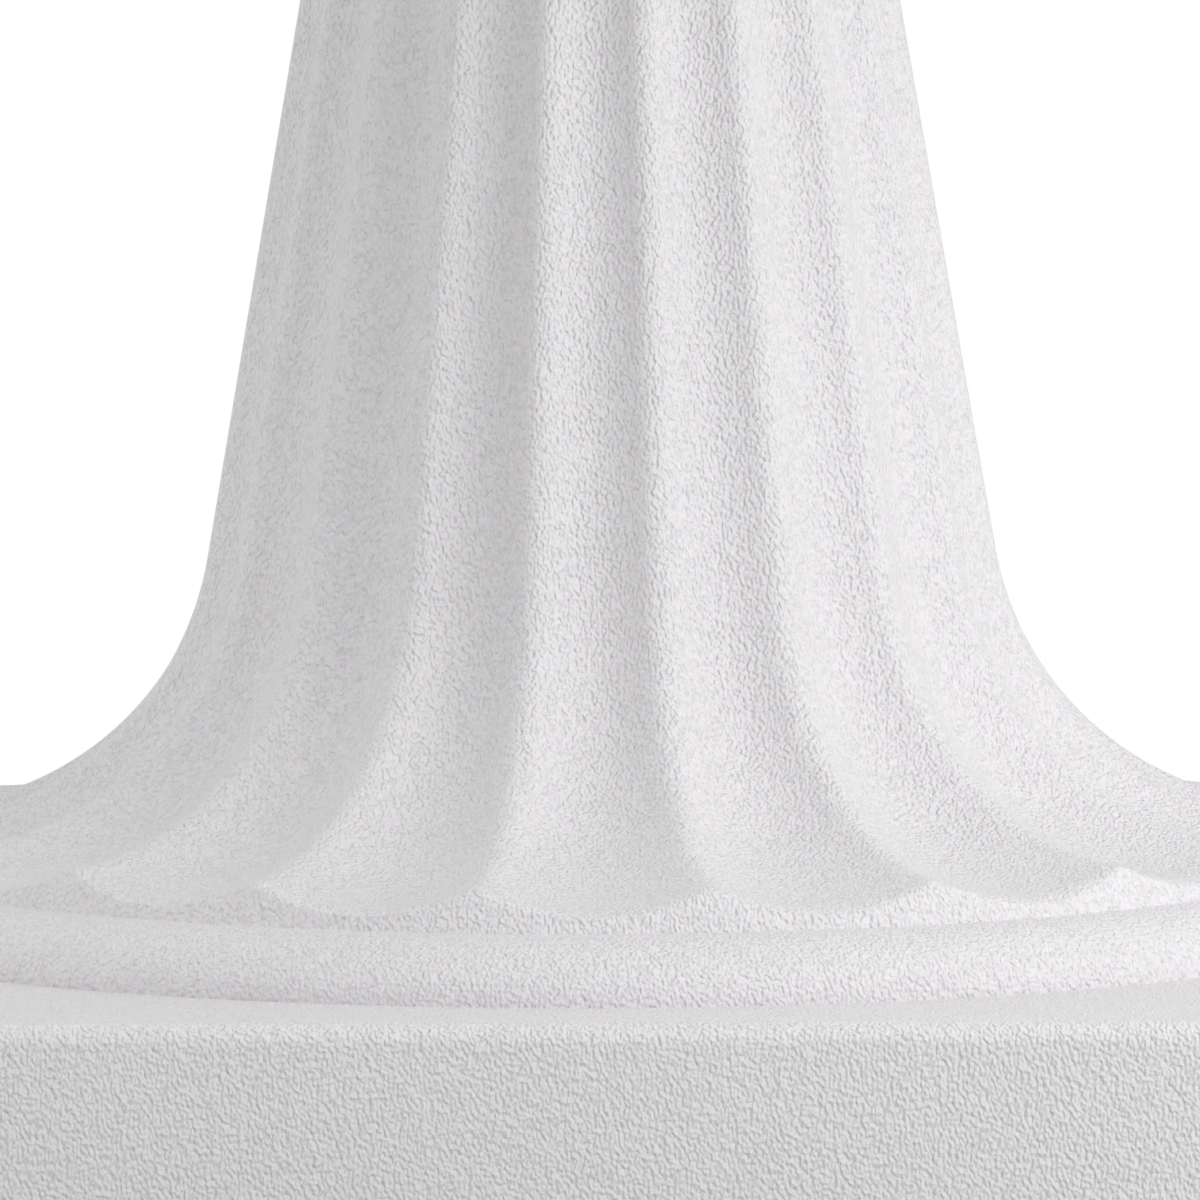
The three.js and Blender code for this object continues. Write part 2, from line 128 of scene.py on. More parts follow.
def fan_of(ring, tip, upwards):
    """Triangles from each edge of a ring of points to one tip."""
    following = np.roll(ring, -1)
    edges = (ring, following) if upwards else (following, ring)
    return np.stack([*edges, np.full_like(ring, tip)], 1)


def mesh_from(name, grids):
    """One mesh from several closed grids. A grid is a pair: its points, and whether its rows make a loop.
    Where they don't, each end is closed by a point at the middle of its row."""
    points, quads, triangles, first = [], [], [], 0
    for grid, loop in grids:
        rows, columns, _ = grid.shape
        points.append(grid.reshape(-1, 3))
        quads.append(faces_of(rows, columns, loop, first))
        if not loop:
            tips = first + rows * columns
            points.append(np.stack([grid[0].mean(0), grid[-1].mean(0)]))
            triangles.append(fan_of(np.arange(columns) + first, tips, False))
            triangles.append(fan_of(np.arange(columns) + first + (rows - 1) * columns, tips + 1, True))
        first = sum(len(part) for part in points)
    faces = [face for part in quads + triangles for face in part.tolist()]
    mesh = bpy.data.meshes.new(name)
    mesh.from_pydata(np.concatenate(points), [], faces)
    mesh.validate()
    return mesh


# %% [markdown]
# ## Placing a piece
# A new piece stands for one node of the imported model: it hides that node, rides on the same body, and takes
# the finish that it is given. Faces are shaded smooth, except across edges sharper than a given angle.

# %% Make a piece that replaces a node
SHARP = np.radians(38)


def place(node, grids, finish, drills=()):
    """A new object for a node, with its finish. Drills are closed grids that are cut out of it."""
    piece = bpy.data.objects.new(node + "_moulding", mesh_from(node + "_moulding", grids))
    bpy.context.scene.collection.objects.link(piece)
    if drills:
        drill(piece, drills)
    piece.data.shade_smooth()
    piece.data.set_sharp_from_angle(angle=SHARP)
    piece.data.materials.clear()
    piece.data.materials.append(finish)
    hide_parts(node)
    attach(piece, body_of_node[node])
    print(f"{node}: {len(piece.data.polygons)} faces")
    return piece


def drill(piece, grids):
    """Cuts closed grids out of a piece with a Boolean modifier, and keeps the result as its mesh."""
    cutter = bpy.data.objects.new("cutter", mesh_from("cutter", grids))
    bpy.context.scene.collection.objects.link(cutter)
    modifier = piece.modifiers.new("drill", "BOOLEAN")
    modifier.operation, modifier.object, modifier.solver = "DIFFERENCE", cutter, "EXACT"
    whole = piece.data
    piece.data = bpy.data.meshes.new_from_object(piece.evaluated_get(bpy.context.evaluated_depsgraph_get()))
    piece.modifiers.clear()
    bpy.data.objects.remove(cutter)
    bpy.data.meshes.remove(whole)


def rod_cutter(radius, low, high, centre=(0.0, 0.0), columns=24):
    """A plain upright cylinder, closed at both ends."""
    return turned(straight((radius, low), (radius, high)), columns, centre), False


# %% [markdown]
# ## Finishes
# A material is a small graph of nodes. One function adds a node, with its settings and its links, and the
# rest is the recipe. Colours are written as sRGB hex values, as a paint chart gives them, and turned to
# linear light. Patterns read Object coordinates, which are metres here, so a noise scale is one over the
# size of a grain in metres.

# %% Node and colour helpers


def linear(hex_colour):
    """An sRGB hex colour as linear red, green, blue and alpha."""
    value = np.array([int(hex_colour[i:i + 2], 16) for i in (1, 3, 5)]) / 255
    light = np.where(value <= 0.04045, value / 12.92, ((value + 0.055) / 1.055) ** 2.4)
    return (*light, 1.0)


def add(material, kind, inputs=None, **settings):
    """Adds a node: settings are its own fields, and inputs are values or another node's outputs."""
    tree = material.node_tree
    node = tree.nodes.new(kind)
    for field, value in settings.items():
        setattr(node, field, value)
    for socket, value in (inputs or {}).items():
        if isinstance(value, bpy.types.NodeSocket):
            tree.links.new(value, node.inputs[socket])
        else:
            node.inputs[socket].default_value = value
    return node


def new_material(name):
    """An empty material, with its shader and the coordinates that every pattern reads."""
    material = bpy.data.materials.new(name)
    material.use_nodes = True
    material.node_tree.nodes.clear()
    shader = add(material, "ShaderNodeBsdfPrincipled")
    add(material, "ShaderNodeOutputMaterial", {"Surface": shader.outputs["BSDF"]})
    place_on_piece = add(material, "ShaderNodeTexCoord").outputs["Object"]
    return material, shader, place_on_piece


def link(material, output, shader, socket):
    material.node_tree.links.new(output, shader.inputs[socket])


# %% [markdown]
# ### White polyethylene, rotationally moulded
# The powder melts against a blasted steel mould, so the faces carry a pebbled grain that repeats about
# every millimetre, with a dull gloss. The plastic is a neutral white. Light from one side picks the grain
# out, and light from the front hides it. It could be carved as geometry, but at this size a bump does as
# well: one noise, stretched a little upwards, with its gloss a little higher on the pebbles' tops. The
# tint drifts slowly between two near whites, as the melt does.

# %% Moulded polyethylene
GRAIN = 0.52 * MM
GRAIN_STRETCH = 1.35
GRAIN_HEIGHT = 0.62 * MM
CLOUDS_PER_METRE = 9.0


def moulded_polyethylene():
    material, shader, where = new_material("White polyethylene, rotationally moulded")
    drawn = add(material, "ShaderNodeMapping", {"Vector": where, "Scale": (1, 1, 1 / GRAIN_STRETCH)})
    pebbles = add(material, "ShaderNodeTexNoise", {
        "Vector": drawn.outputs["Vector"], "Scale": 1 / GRAIN,
        "Detail": 0.4, "Roughness": 0.4, "Distortion": 0.2})
    grain = add(material, "ShaderNodeBump", {
        "Height": pebbles.outputs["Fac"], "Strength": 1.0, "Distance": GRAIN_HEIGHT})
    clouds = add(material, "ShaderNodeTexNoise", {
        "Vector": where, "Scale": CLOUDS_PER_METRE, "Detail": 2.0})
    tint = add(material, "ShaderNodeValToRGB", {"Fac": clouds.outputs["Fac"]})
    tint.color_ramp.elements[0].position, tint.color_ramp.elements[0].color = 0.3, linear("#EAE8EA")
    tint.color_ramp.elements[1].position, tint.color_ramp.elements[1].color = 0.7, linear("#EEECEE")
    gloss = add(material, "ShaderNodeMapRange", {
        "Value": pebbles.outputs["Fac"], "From Min": 0.3, "From Max": 0.7, "To Min": 0.62, "To Max": 0.54})
    shader.inputs["IOR"].default_value = 1.5
    shader.inputs["Specular IOR Level"].default_value = 0.35
    link(material, tint.outputs["Color"], shader, "Base Color")
    link(material, gloss.outputs["Result"], shader, "Roughness")
    link(material, grain.outputs["Normal"], shader, "Normal")
    return material


# %% [markdown]
# ### EPDM rubber, press moulded
# Feet, seal and stopper are black EPDM. It is never quite black: a grey bloom lies on it, and its gloss is
# low and uneven.

# %% Press-moulded EPDM rubber


def pressed_rubber():
    material, shader, where = new_material("EPDM rubber, press moulded")
    bloom = add(material, "ShaderNodeTexNoise", {"Vector": where, "Scale": 1 / (6 * MM), "Detail": 3.0})
    tint = add(material, "ShaderNodeValToRGB", {"Fac": bloom.outputs["Fac"]})
    tint.color_ramp.elements[0].position, tint.color_ramp.elements[0].color = 0.35, linear("#232425")
    tint.color_ramp.elements[1].position, tint.color_ramp.elements[1].color = 0.75, linear("#3A3B3C")
    pores = add(material, "ShaderNodeTexNoise", {"Vector": where, "Scale": 1 / (0.4 * MM), "Detail": 1.0})
    skin = add(material, "ShaderNodeBump", {
        "Height": pores.outputs["Fac"], "Strength": 0.5, "Distance": 0.05 * MM})
    gloss = add(material, "ShaderNodeMapRange", {
        "Value": bloom.outputs["Fac"], "To Min": 0.6, "To Max": 0.85})
    shader.inputs["IOR"].default_value = 1.52
    link(material, tint.outputs["Color"], shader, "Base Color")
    link(material, gloss.outputs["Result"], shader, "Roughness")
    link(material, skin.outputs["Normal"], shader, "Normal")
    return material


# %% [markdown]
# ### Zinc-plated steel
# The rod, nuts, washers and screws are mild steel with a clear-passivated zinc plate: a bluish grey metal,
# with small cells that catch the light differently.

# %% Zinc-plated steel


def zinc_plated_steel():
    material, shader, where = new_material("Mild steel, zinc plated")
    cells = add(material, "ShaderNodeTexVoronoi", {"Vector": where, "Scale": 1 / (1.6 * MM)})
    tint = add(material, "ShaderNodeValToRGB", {"Fac": cells.outputs["Distance"]})
    tint.color_ramp.elements[0].position, tint.color_ramp.elements[0].color = 0.1, linear("#C3C7CB")
    tint.color_ramp.elements[1].position, tint.color_ramp.elements[1].color = 0.9, linear("#A9AEB4")
    gloss = add(material, "ShaderNodeMapRange", {
        "Value": cells.outputs["Distance"], "To Min": 0.26, "To Max": 0.44})
    ripple = add(material, "ShaderNodeTexNoise", {"Vector": where, "Scale": 1 / (0.8 * MM), "Detail": 2.0})
    skin = add(material, "ShaderNodeBump", {
        "Height": ripple.outputs["Fac"], "Strength": 0.4, "Distance": 0.03 * MM})
    shader.inputs["Metallic"].default_value = 1.0
    link(material, tint.outputs["Color"], shader, "Base Color")
    link(material, gloss.outputs["Result"], shader, "Roughness")
    link(material, skin.outputs["Normal"], shader, "Normal")
    return material


white = moulded_polyethylene()
rubber = pressed_rubber()
zinc = zinc_plated_steel()
print("finishes", white.name, "|", rubber.name, "|", zinc.name)

# %% [markdown]
# ## The flutes
# Twenty flutes run up the stem, with one in the middle of the front. Across, a flute is a shallow trough:
# its depth falls with the square of the distance from its middle. The ridge between two flutes isn't
# sharp, because melt doesn't fill a sharp corner of a mould, so the slope eases to nothing over the last
# part of the way. That part is short at the foot, where the ridges end in points, and longer up the stem.

# %% How deep a flute is at an angle
FLUTES = 20
SHARP_RIDGE = 0.08
SOFT_RIDGE = 0.3


def across_flute(angle):
    """Distance from the middle of the nearest flute: 0 in its middle and 1 on the ridge beside it."""
    turns = angle * FLUTES / (2 * np.pi)
    return np.abs(2 * (turns - np.round(turns)))


def trough(angle, ridge=SOFT_RIDGE):
    """1 - u squared in the trough, for u across the flute. From u = 1 - ridge the slope falls evenly to 0,
    and the whole is scaled so that it goes from 1 in the middle to 0 on the ridge."""
    across = across_flute(angle)
    side = 1 - ridge
    past = np.clip(across - side, 0, None)
    easing = side ** 2 + 2 * side * (past - past ** 2 / (2 * ridge))
    return 1 - np.where(past > 0, easing, across ** 2) / side


def sunk(points, depth, direction, share):
    """Turned outline points, moved by depth times share along each point's own direction. The last axis
    of share is the columns, and it may have a row for each point as well."""
    moved = points[:, None, :] + (depth[:, None] * share)[..., None] * direction[:, None, :]
    return around(moved[..., 0], full_turn(share.shape[-1]), moved[..., 1])


# %% [markdown]
# ## The stem
# From the bottom: a low collar, whose top edge the flutes scallop as they run out over it; a flare, which
# is one arc; a straight cone; and a tighter arc out to the neck's lip. The flutes sink at right angles to
# that line, and so straight down at the collar. They are deepest just above it, and run out below the lip.
# The inside is plain, one wall further in.

# %% Fluted stem
stem_low, stem_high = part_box("fluted_stem")
STEM_COLUMNS = FLUTES * 24
COLLAR_HEIGHT = 5.8 * MM
COLLAR_DRAFT = 2.0 * MM
FLARE_RADIUS = 47.5 * MM
CONE_ANGLE = 9.87
CONE_HEIGHT = 100 * MM
NECK_RADIUS = 30 * MM
NECK_END = 70
FLUTE_DEPTHS = {"foot": 3.3 * MM, "flare": 4.6 * MM, "cone foot": 3.1 * MM, "neck": 2.3 * MM}
FLARE_DEEPENS = 8 * MM
FLUTE_END = 9 * MM
LIP_ROUND = 0.8 * MM
RIDGE_SOFTENS = 18 * MM
INSIDE_NECK_END = 42
INSIDE_FLARE_END = 255.6
FOOT_WALL_LOSS = 1.5 * MM
WALL = 4.5 * MM
EDGE_ROUND = 0.8 * MM
SEAM = 0.25 * MM  # each moulding reaches this far down, over the gap to the one that it stands on


def flute_direction(points):
    """The direction into the material: each point's travel along the line, turned a quarter turn."""
    travel = np.gradient(points, axis=0)
    travel /= np.linalg.norm(travel, axis=1)[:, None]
    return np.stack([-travel[:, 1], travel[:, 0]], 1)


def rounded_over(before, corner, after, count=9):
    """Rows that cut a corner off: (1 - t) squared times before, plus 2 t (1 - t) times corner, plus t
    squared times after, for t from 0 to 1."""
    t = np.linspace(0, 1, count)[:, None, None]
    return (1 - t) ** 2 * before + 2 * t * (1 - t) * corner + t ** 2 * after


def fluted_stem():
    floor = stem_low.z - SEAM
    foot_radius = stem_high.x
    rim = (foot_radius - COLLAR_DRAFT, stem_low.z + COLLAR_HEIGHT)
    cone_turn = np.radians(CONE_ANGLE)
    flare_middle = (rim[0], rim[1] + FLARE_RADIUS)
    flare = arc(flare_middle, FLARE_RADIUS, 270, 180 + CONE_ANGLE, 60)
    cone_top = flare[-1] + CONE_HEIGHT * np.array([-np.tan(cone_turn), 1])
    neck_middle = cone_top + NECK_RADIUS * np.array([np.cos(cone_turn), np.sin(cone_turn)])
    neck = arc(neck_middle, NECK_RADIUS, 180 + CONE_ANGLE, 180 - NECK_END, 28)
    line = outline(flare, straight(flare[-1], neck[0], 40), neck)

    height = line[:, 1]
    ridge = np.interp(height, [rim[1], rim[1] + RIDGE_SOFTENS], [SHARP_RIDGE, SOFT_RIDGE])
    share = trough(full_turn(STEM_COLUMNS), ridge[:, None])
    depth_heights = [rim[1], rim[1] + FLARE_DEEPENS, flare[-1][1], cone_top[1]]
    depth = np.interp(height, depth_heights, list(FLUTE_DEPTHS.values()))
    to_end = np.clip((height[-1] - height) / FLUTE_END, 0, 1)
    depth *= np.sqrt(to_end * (2 - to_end))
    body = sunk(line, depth, flute_direction(line), share)

    steps = np.linspace(0, 1, 8)[:, None]
    collar_top = body[0, :, 2] - EDGE_ROUND
    collar_height = (collar_top - floor) * steps + floor
    collar_radius = foot_radius - COLLAR_DRAFT / COLLAR_HEIGHT * (collar_height - stem_low.z)
    outward = body[:1, :, :2] / np.linalg.norm(body[:1, :, :2], axis=2, keepdims=True)
    collar = np.concatenate([outward * collar_radius[..., None], collar_height[..., None]], 2)
    edge = rounded_over(collar[-1], body[0], body[2])

    top = stem_high.z
    lip = neck[-1] + (LIP_ROUND, 0)
    lip_rows = turned(outline(arc(lip + (0, LIP_ROUND), LIP_ROUND, -80, 0, 5),
                              arc((lip[0], top - LIP_ROUND), LIP_ROUND, 0, 90, 5)), STEM_COLUMNS)
    inset = FLUTE_DEPTHS["cone foot"] + WALL
    inner_neck = arc(neck_middle, NECK_RADIUS + inset, 180 - INSIDE_NECK_END, 180 + CONE_ANGLE, 12)
    inner_radius = FLARE_RADIUS + inset - FOOT_WALL_LOSS
    inner_flare = arc(flare_middle, inner_radius, 180 + CONE_ANGLE, INSIDE_FLARE_END, 24)
    inside = outline((inner_neck[0][0], top), inner_neck, inner_flare, (inner_flare[-1][0], floor))
    grid = np.concatenate([collar[:-1], edge, body[3:], lip_rows, turned(inside, STEM_COLUMNS)])
    waist = np.linalg.norm(body[..., :2], axis=2).min()
    print("stem waist, mm", round(waist / MM, 1), "lip, mm", (lip / MM).round(1))
    return grid, True


place("fluted_stem", [fluted_stem()], white)

# %% [markdown]
# ## Ring and bead
# The base ring's edge is a quarter ellipse, level at the top and upright at its foot, so it meets both the
# collar and the plinth in a crisp inner corner. The neck ring is a half-round bead. Both have a hole
# through the middle, so their outlines close into a loop.

# %% Base ring and neck ring
RING_ROUND = (12.0 * MM, 8.6 * MM)
RING_HOLE = 30 * MM
NECK_RING_HOLE = 36.5 * MM


def base_ring():
    low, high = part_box("base_ring")
    floor = low.z - SEAM
    round_over = arc((high.x - RING_ROUND[0], high.z - RING_ROUND[1]), RING_ROUND, 0, 90, 28)
    return turned(outline((RING_HOLE, floor), (high.x, floor), round_over, (RING_HOLE, high.z)), 256), True


def neck_ring():
    low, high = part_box("neck_ring")
    half = (high.z - low.z + SEAM) / 2
    bead = arc((high.x - half, high.z - half), half, -90, 90, 32)
    section = outline((NECK_RING_HOLE, bead[0][1]), bead, (NECK_RING_HOLE, bead[-1][1]))
    return turned(section, 192), True


place("base_ring", [base_ring()], white)
place("neck_ring", [neck_ring()], white)

# %% [markdown]
# ## The bowl
# The cup is a quarter ellipse, lobed like a melon: each lobe is full in its middle, and a groove runs
# between two lobes. A bead hides the joint of cup and bell. The bell widens slowly and then fast, into a
# rolled rim. The inside is plain: it stays a lobe's depth and a wall inside the cup, so no groove comes
# through, and it has a ledge for the shelf. The rod's hole is part of the outline, and only the drain is
# drilled.

# %% Bowl
bowl_low, bowl_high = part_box("bowl")
BOWL_COLUMNS = FLUTES * 20
CUP_RADIUS = 148 * MM
CUP_HEIGHT = 80 * MM
LOBE_DEPTH = 4 * MM
LOBE_FADES = (0.12, 0.08)
GROOVE_REACH = 0.985
BASE_STEP = 10 * MM
BEAD_RADIUS = 5 * MM
THROAT_RADIUS = 140 * MM
BELL_EVEN_SHARE = 0.25
RIM_ROLL = 7 * MM
RIM_OVERHANG = 2.2 * RIM_ROLL
BOWL_FLOOR = 5 * MM
LEDGE_HEIGHT = 28 * MM
LEDGE_WIDTH = 10 * MM
SHELF_CLEARANCE = 1.2 * MM
ROD_HOLE = 4.6 * MM
DRAIN_HOLE = 6 * MM
shelf_low, shelf_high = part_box("soil_shelf")
plug_low, plug_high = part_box("drain_plug")


def groove(angle):
    """How far a half ellipse across each lobe falls below its top: 0 in the middle of a lobe, and ever
    faster to 1 in the groove beside it. GROOVE_REACH stops it just short of the ellipse's upright end."""
    fall = 1 - np.sqrt(1 - (GROOVE_REACH * across_flute(angle)) ** 2)
    return fall / (1 - np.sqrt(1 - GROOVE_REACH ** 2))


def bell(start, end, count):
    """From start to end: the radius widens as a quarter of the rise plus three quarters of its cube."""
    rise = np.linspace(0, 1, count)
    widening = BELL_EVEN_SHARE * rise + (1 - BELL_EVEN_SHARE) * rise ** 3
    return np.stack([start[0] + (end[0] - start[0]) * widening, start[1] + (end[1] - start[1]) * rise], 1)


def bowl():
    floor = bowl_low.z
    rim = bowl_high.x
    lip = (rim - RIM_ROLL, bowl_high.z - RIM_ROLL)
    base_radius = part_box("neck_ring")[1].x - BASE_STEP
    cup = arc((base_radius, floor + CUP_HEIGHT), (CUP_RADIUS - base_radius, CUP_HEIGHT), -90, 0, 52)
    up_the_cup = np.linspace(0, 1, len(cup))
    fade = np.clip(up_the_cup / LOBE_FADES[0], 0, 1) * np.clip((1 - up_the_cup) / LOBE_FADES[1], 0, 1)
    depth = LOBE_DEPTH * np.sqrt(fade * (2 - fade))
    share = groove(full_turn(BOWL_COLUMNS))
    lobed = sunk(cup, depth, flute_direction(cup), share)

    bead = arc((CUP_RADIUS, floor + CUP_HEIGHT + BEAD_RADIUS), BEAD_RADIUS, -90, 90, 16)
    throat = (THROAT_RADIUS, bead[-1][1])
    neck_of_rim = (rim - RIM_OVERHANG, lip[1] - 0.8 * RIM_ROLL)
    roll = arc(lip, RIM_ROLL, -99, 150, 26)
    outside = outline(bead, bell(throat, neck_of_rim, 44), roll)

    ledge_outer = shelf_high.x + SHELF_CLEARANCE
    ledge_inner = shelf_high.x - LEDGE_WIDTH
    ledge = floor + LEDGE_HEIGHT
    inner_top = (neck_of_rim[0] - WALL, neck_of_rim[1] + 0.4 * RIM_ROLL)
    inner_throat = (THROAT_RADIUS - WALL, throat[1] + 4 * MM)
    inner_radii = (CUP_RADIUS - WALL - LOBE_DEPTH - base_radius, CUP_HEIGHT - BOWL_FLOOR)
    inner_cup = arc((base_radius, floor + CUP_HEIGHT), inner_radii, 0, -90, 50)
    upper_cup = inner_cup[(inner_cup[:, 0] > ledge_outer) & (inner_cup[:, 1] > ledge)]
    sump = inner_cup[inner_cup[:, 0] < ledge_inner]
    inside = outline(bell(inner_throat, inner_top, 30)[::-1], upper_cup, (ledge_outer, ledge),
                     (ledge_inner + 1 * MM, ledge), (ledge_inner, ledge - 1 * MM), sump,
                     (ROD_HOLE, floor + BOWL_FLOOR))
    underside = floor - SEAM
    base = outline((ROD_HOLE, underside), (base_radius - 2 * MM, underside))
    rows = [turned(base, BOWL_COLUMNS), lobed, turned(outside, BOWL_COLUMNS), turned(inside, BOWL_COLUMNS)]
    return np.concatenate(rows), True


drain_centre = ((plug_low.x + plug_high.x) / 2, (plug_low.y + plug_high.y) / 2)
drain = rod_cutter(DRAIN_HOLE, bowl_low.z - 10 * MM, bowl_low.z + 12 * MM, drain_centre, 40)
place("bowl", [bowl()], white, [drain])

# %% [markdown]
# ## The shelf
# A pierced disc keeps the soil out of the sump. Two rings of drain holes surround a larger one for a
# finger. They are bored with one Boolean, and the edge of the disc is rounded by an arc.

# %% Soil shelf
HOLE_RINGS = ((8, 45 * MM), (14, 82 * MM))
SHELF_HOLE = 5 * MM
FINGER_HOLE = 12 * MM


def soil_shelf():
    half = (shelf_high.z - shelf_low.z) / 2
    edge = arc((shelf_high.x - half, shelf_low.z + half), half, -90, 90, 14)
    return turned(outline((1 * MM, shelf_low.z), edge, (1 * MM, shelf_high.z)), 160), False


def shelf_holes():
    """Cutters for the finger hole and for each ring of drain holes."""
    low, high = shelf_low.z - 5 * MM, shelf_high.z + 5 * MM
    cutters = [rod_cutter(FINGER_HOLE, low, high, columns=48)]
    for count, ring in HOLE_RINGS:
        places = [(ring * np.cos(a), ring * np.sin(a)) for a in full_turn(count)]
        cutters += [rod_cutter(SHELF_HOLE, low, high, centre, 32) for centre in places]
    return cutters


place("soil_shelf", [soil_shelf()], white, shelf_holes())

# %% [markdown]
# ## The plinth
# An upside-down tray. Its sides and top edge are one section, carried round a square with rounded corners,
# and the top then closes in on the rod's hole: each column of points runs straight from the edge to the
# middle. The anchor bar under it is made in the same way, from a longer rectangle.

# %% Square mouldings


def rounded_rectangle(half, corner, inset, per_side=24, per_corner=10):
    """Points round a rectangle with rounded corners, set in from its outline. half is its two half
    widths. The points go anticlockwise, seen from above, from the corner at the front right."""
    half = np.asarray(half) - inset
    corner = max(corner - inset, 0.2 * MM)
    turn = np.radians(np.linspace(0, 90, per_corner))
    points = []
    for quarter, (sx, sy) in enumerate(((1, -1), (1, 1), (-1, 1), (-1, -1))):
        middle = np.array([sx, sy]) * (half - corner)
        angle = turn + np.pi / 2 * (quarter - 1)
        points.append(middle + corner * np.stack([np.cos(angle), np.sin(angle)], 1))
    path = []
    for here, after in zip(points, points[1:] + points[:1]):
        path += [here, straight(here[-1], after[0], per_side)[1:-1]]
    return np.concatenate(path)


def closing_in(path, radius, height_out, height_in, count):
    """Rows from a path to a circle about the axis: each column runs straight towards the middle."""
    circle = radius * path / np.linalg.norm(path, axis=1)[:, None]
    share = np.linspace(0, 1, count)[:, None, None]
    flat = path * (1 - share) + circle * share
    height = np.broadcast_to(height_out * (1 - share) + height_in * share, (count, len(path), 1))
    return np.concatenate([flat, height], 2)


def carried(section, half, corner):
    """Rows of a section carried round a rectangle. The section is points of inset and height."""
    rows = []
    for inset, height in section:
        path = rounded_rectangle(half, corner, inset)
        rows.append(np.concatenate([path, np.full((len(path), 1), height)], 1))
    return np.stack(rows)


def tray(low, high, corner, edge, wall, hole):
    """A square tray, open below: outer wall, rounded top edge, top plate, hole, and down the inside."""
    half = ((high.x - low.x) / 2, (high.y - low.y) / 2)
    foot = arc((0.8 * MM, low.z + 0.8 * MM), 0.8 * MM, 270, 180, 5)
    top_edge = arc((edge, high.z - edge), edge, 180, 90, 14)
    outer = carried(outline(foot, top_edge), half, corner)
    inner_edge = arc((wall + 3 * MM, high.z - wall - 3 * MM), 3 * MM, 90, 180, 6)
    inner = carried(outline(inner_edge, (wall, low.z + 0.5 * MM), (wall - 0.5 * MM, low.z)), half, corner)
    top = closing_in(outer[-1][:, :2], hole, high.z, high.z, 14)
    below = closing_in(inner[0][:, :2], hole, high.z - wall, high.z - wall, 14)[::-1]
    return np.concatenate([outer, top[1:], below, inner[1:]]), True


plinth_low, plinth_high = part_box("plinth")
feet = [node for node in body_of_node if node.startswith("rubber_foot")]
foot_places = [tuple((np.array(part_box(node)[0]) + np.array(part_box(node)[1]))[:2] / 2) for node in feet]
PLINTH_EDGE = 3 * MM
PLINTH_CORNER = 8 * MM
BOSS_RADIUS = 9 * MM
BOSS_BORE = 15 * MM
SCREW_PILOT = 2.3 * MM
WEEP_OFFSET = 22 * MM
WEEP_RADIUS = 5 * MM


def boss(centre):
    """A post that reaches up into the top plate, bored from below for a foot's screw."""
    low, high = plinth_low.z, plinth_high.z - WALL / 2
    bored = low + BOSS_BORE
    bore = outline((1 * MM, bored), (SCREW_PILOT, bored - 1 * MM), (SCREW_PILOT, low))
    outside = outline((BOSS_RADIUS - 0.5 * MM, low), (BOSS_RADIUS, low + 0.5 * MM),
                      (BOSS_RADIUS, high), (1 * MM, high))
    return turned(outline(bore, outside), 40, centre), False


tray_grid = tray(plinth_low, plinth_high, PLINTH_CORNER, PLINTH_EDGE, WALL, ROD_HOLE)
weeps = [rod_cutter(WEEP_RADIUS, plinth_high.z - 20 * MM, plinth_high.z + 10 * MM, (0, y), 32)
         for y in (-WEEP_OFFSET, WEEP_OFFSET)]
place("plinth", [tray_grid] + [boss(centre) for centre in foot_places], white, weeps)


def anchor_bar():
    low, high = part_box("anchor_bar")
    half = (high.x, high.y)
    edge = 0.6 * MM
    section = outline(arc((edge, low.z + edge), edge, 270, 180, 5),
                      arc((edge, high.z - edge), edge, 180, 90, 5))
    sides = carried(section, half, 2 * MM)
    top = closing_in(sides[-1][:, :2], ROD_HOLE, high.z, high.z, 6)
    below = closing_in(sides[0][:, :2], ROD_HOLE, low.z, low.z, 6)[::-1]
    return np.concatenate([sides, top[1:], below[:-1]]), True


place("anchor_bar", [anchor_bar()], zinc)

# %% [markdown]
# ## Rubber pieces
# Each foot is a disc with a hollow for its screw, and shallow rings moulded into its sole. The stopper
# has a flange to seal on, a slightly waisted shank and a knob to pull. Each is turned from one outline.

# %% Feet, stopper and seal


def rubber_foot(node, centre):
    low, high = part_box(node)
    radius = high.x - centre[0]
    well, well_top = 4.5 * MM, low.z + 1.8 * MM
    sole_radius = np.linspace(well + 0.8 * MM, radius - 1.2 * MM, 60)
    rings = 0.25 * MM * np.clip(np.sin((sole_radius - well) * 2 * np.pi / (1.8 * MM)), 0, None)
    sole = np.stack([sole_radius, low.z + rings], 1)
    side = arc((radius - 0.7 * MM, low.z + 0.7 * MM), 0.7 * MM, -90, 0, 6)
    top = arc((radius - 0.3 * MM, high.z - 0.3 * MM), 0.3 * MM, 0, 90, 4)
    well_edge = arc((well + 0.3 * MM, low.z + 0.3 * MM), 0.3 * MM, 180, 270, 4)
    section = outline((SCREW_PILOT, well_top), (well, well_top), well_edge, sole, side, top,
                      (SCREW_PILOT, high.z + SEAM))
    return turned(section, 64, centre), True


def drain_stopper():
    floor = bowl_low.z + BOWL_FLOOR
    shank, flange, low = 5.7 * MM, plug_high.x, plug_low.z
    nose = arc((shank - 1.2 * MM, low + 1.2 * MM), 1.2 * MM, -90, 0, 6)
    waist = arc((shank + 0.9 * MM, low + 2.9 * MM), 1.1 * MM, 200, 160, 6)
    flange_edge = arc((flange - 0.5 * MM, floor + 0.55 * MM), 0.5 * MM, -90, 90, 8)
    neck = arc((3.4 * MM, floor + 2.5 * MM), 0.9 * MM, 250, 180, 6)
    knob = arc((2.9 * MM, plug_high.z - 1.7 * MM), 1.7 * MM, -40, 90, 12)
    section = outline((0.5 * MM, low), nose, waist, (shank, floor + 0.02 * MM), flange_edge, neck, knob,
                      (0.5 * MM, plug_high.z))
    return turned(section, 64, drain_centre), False


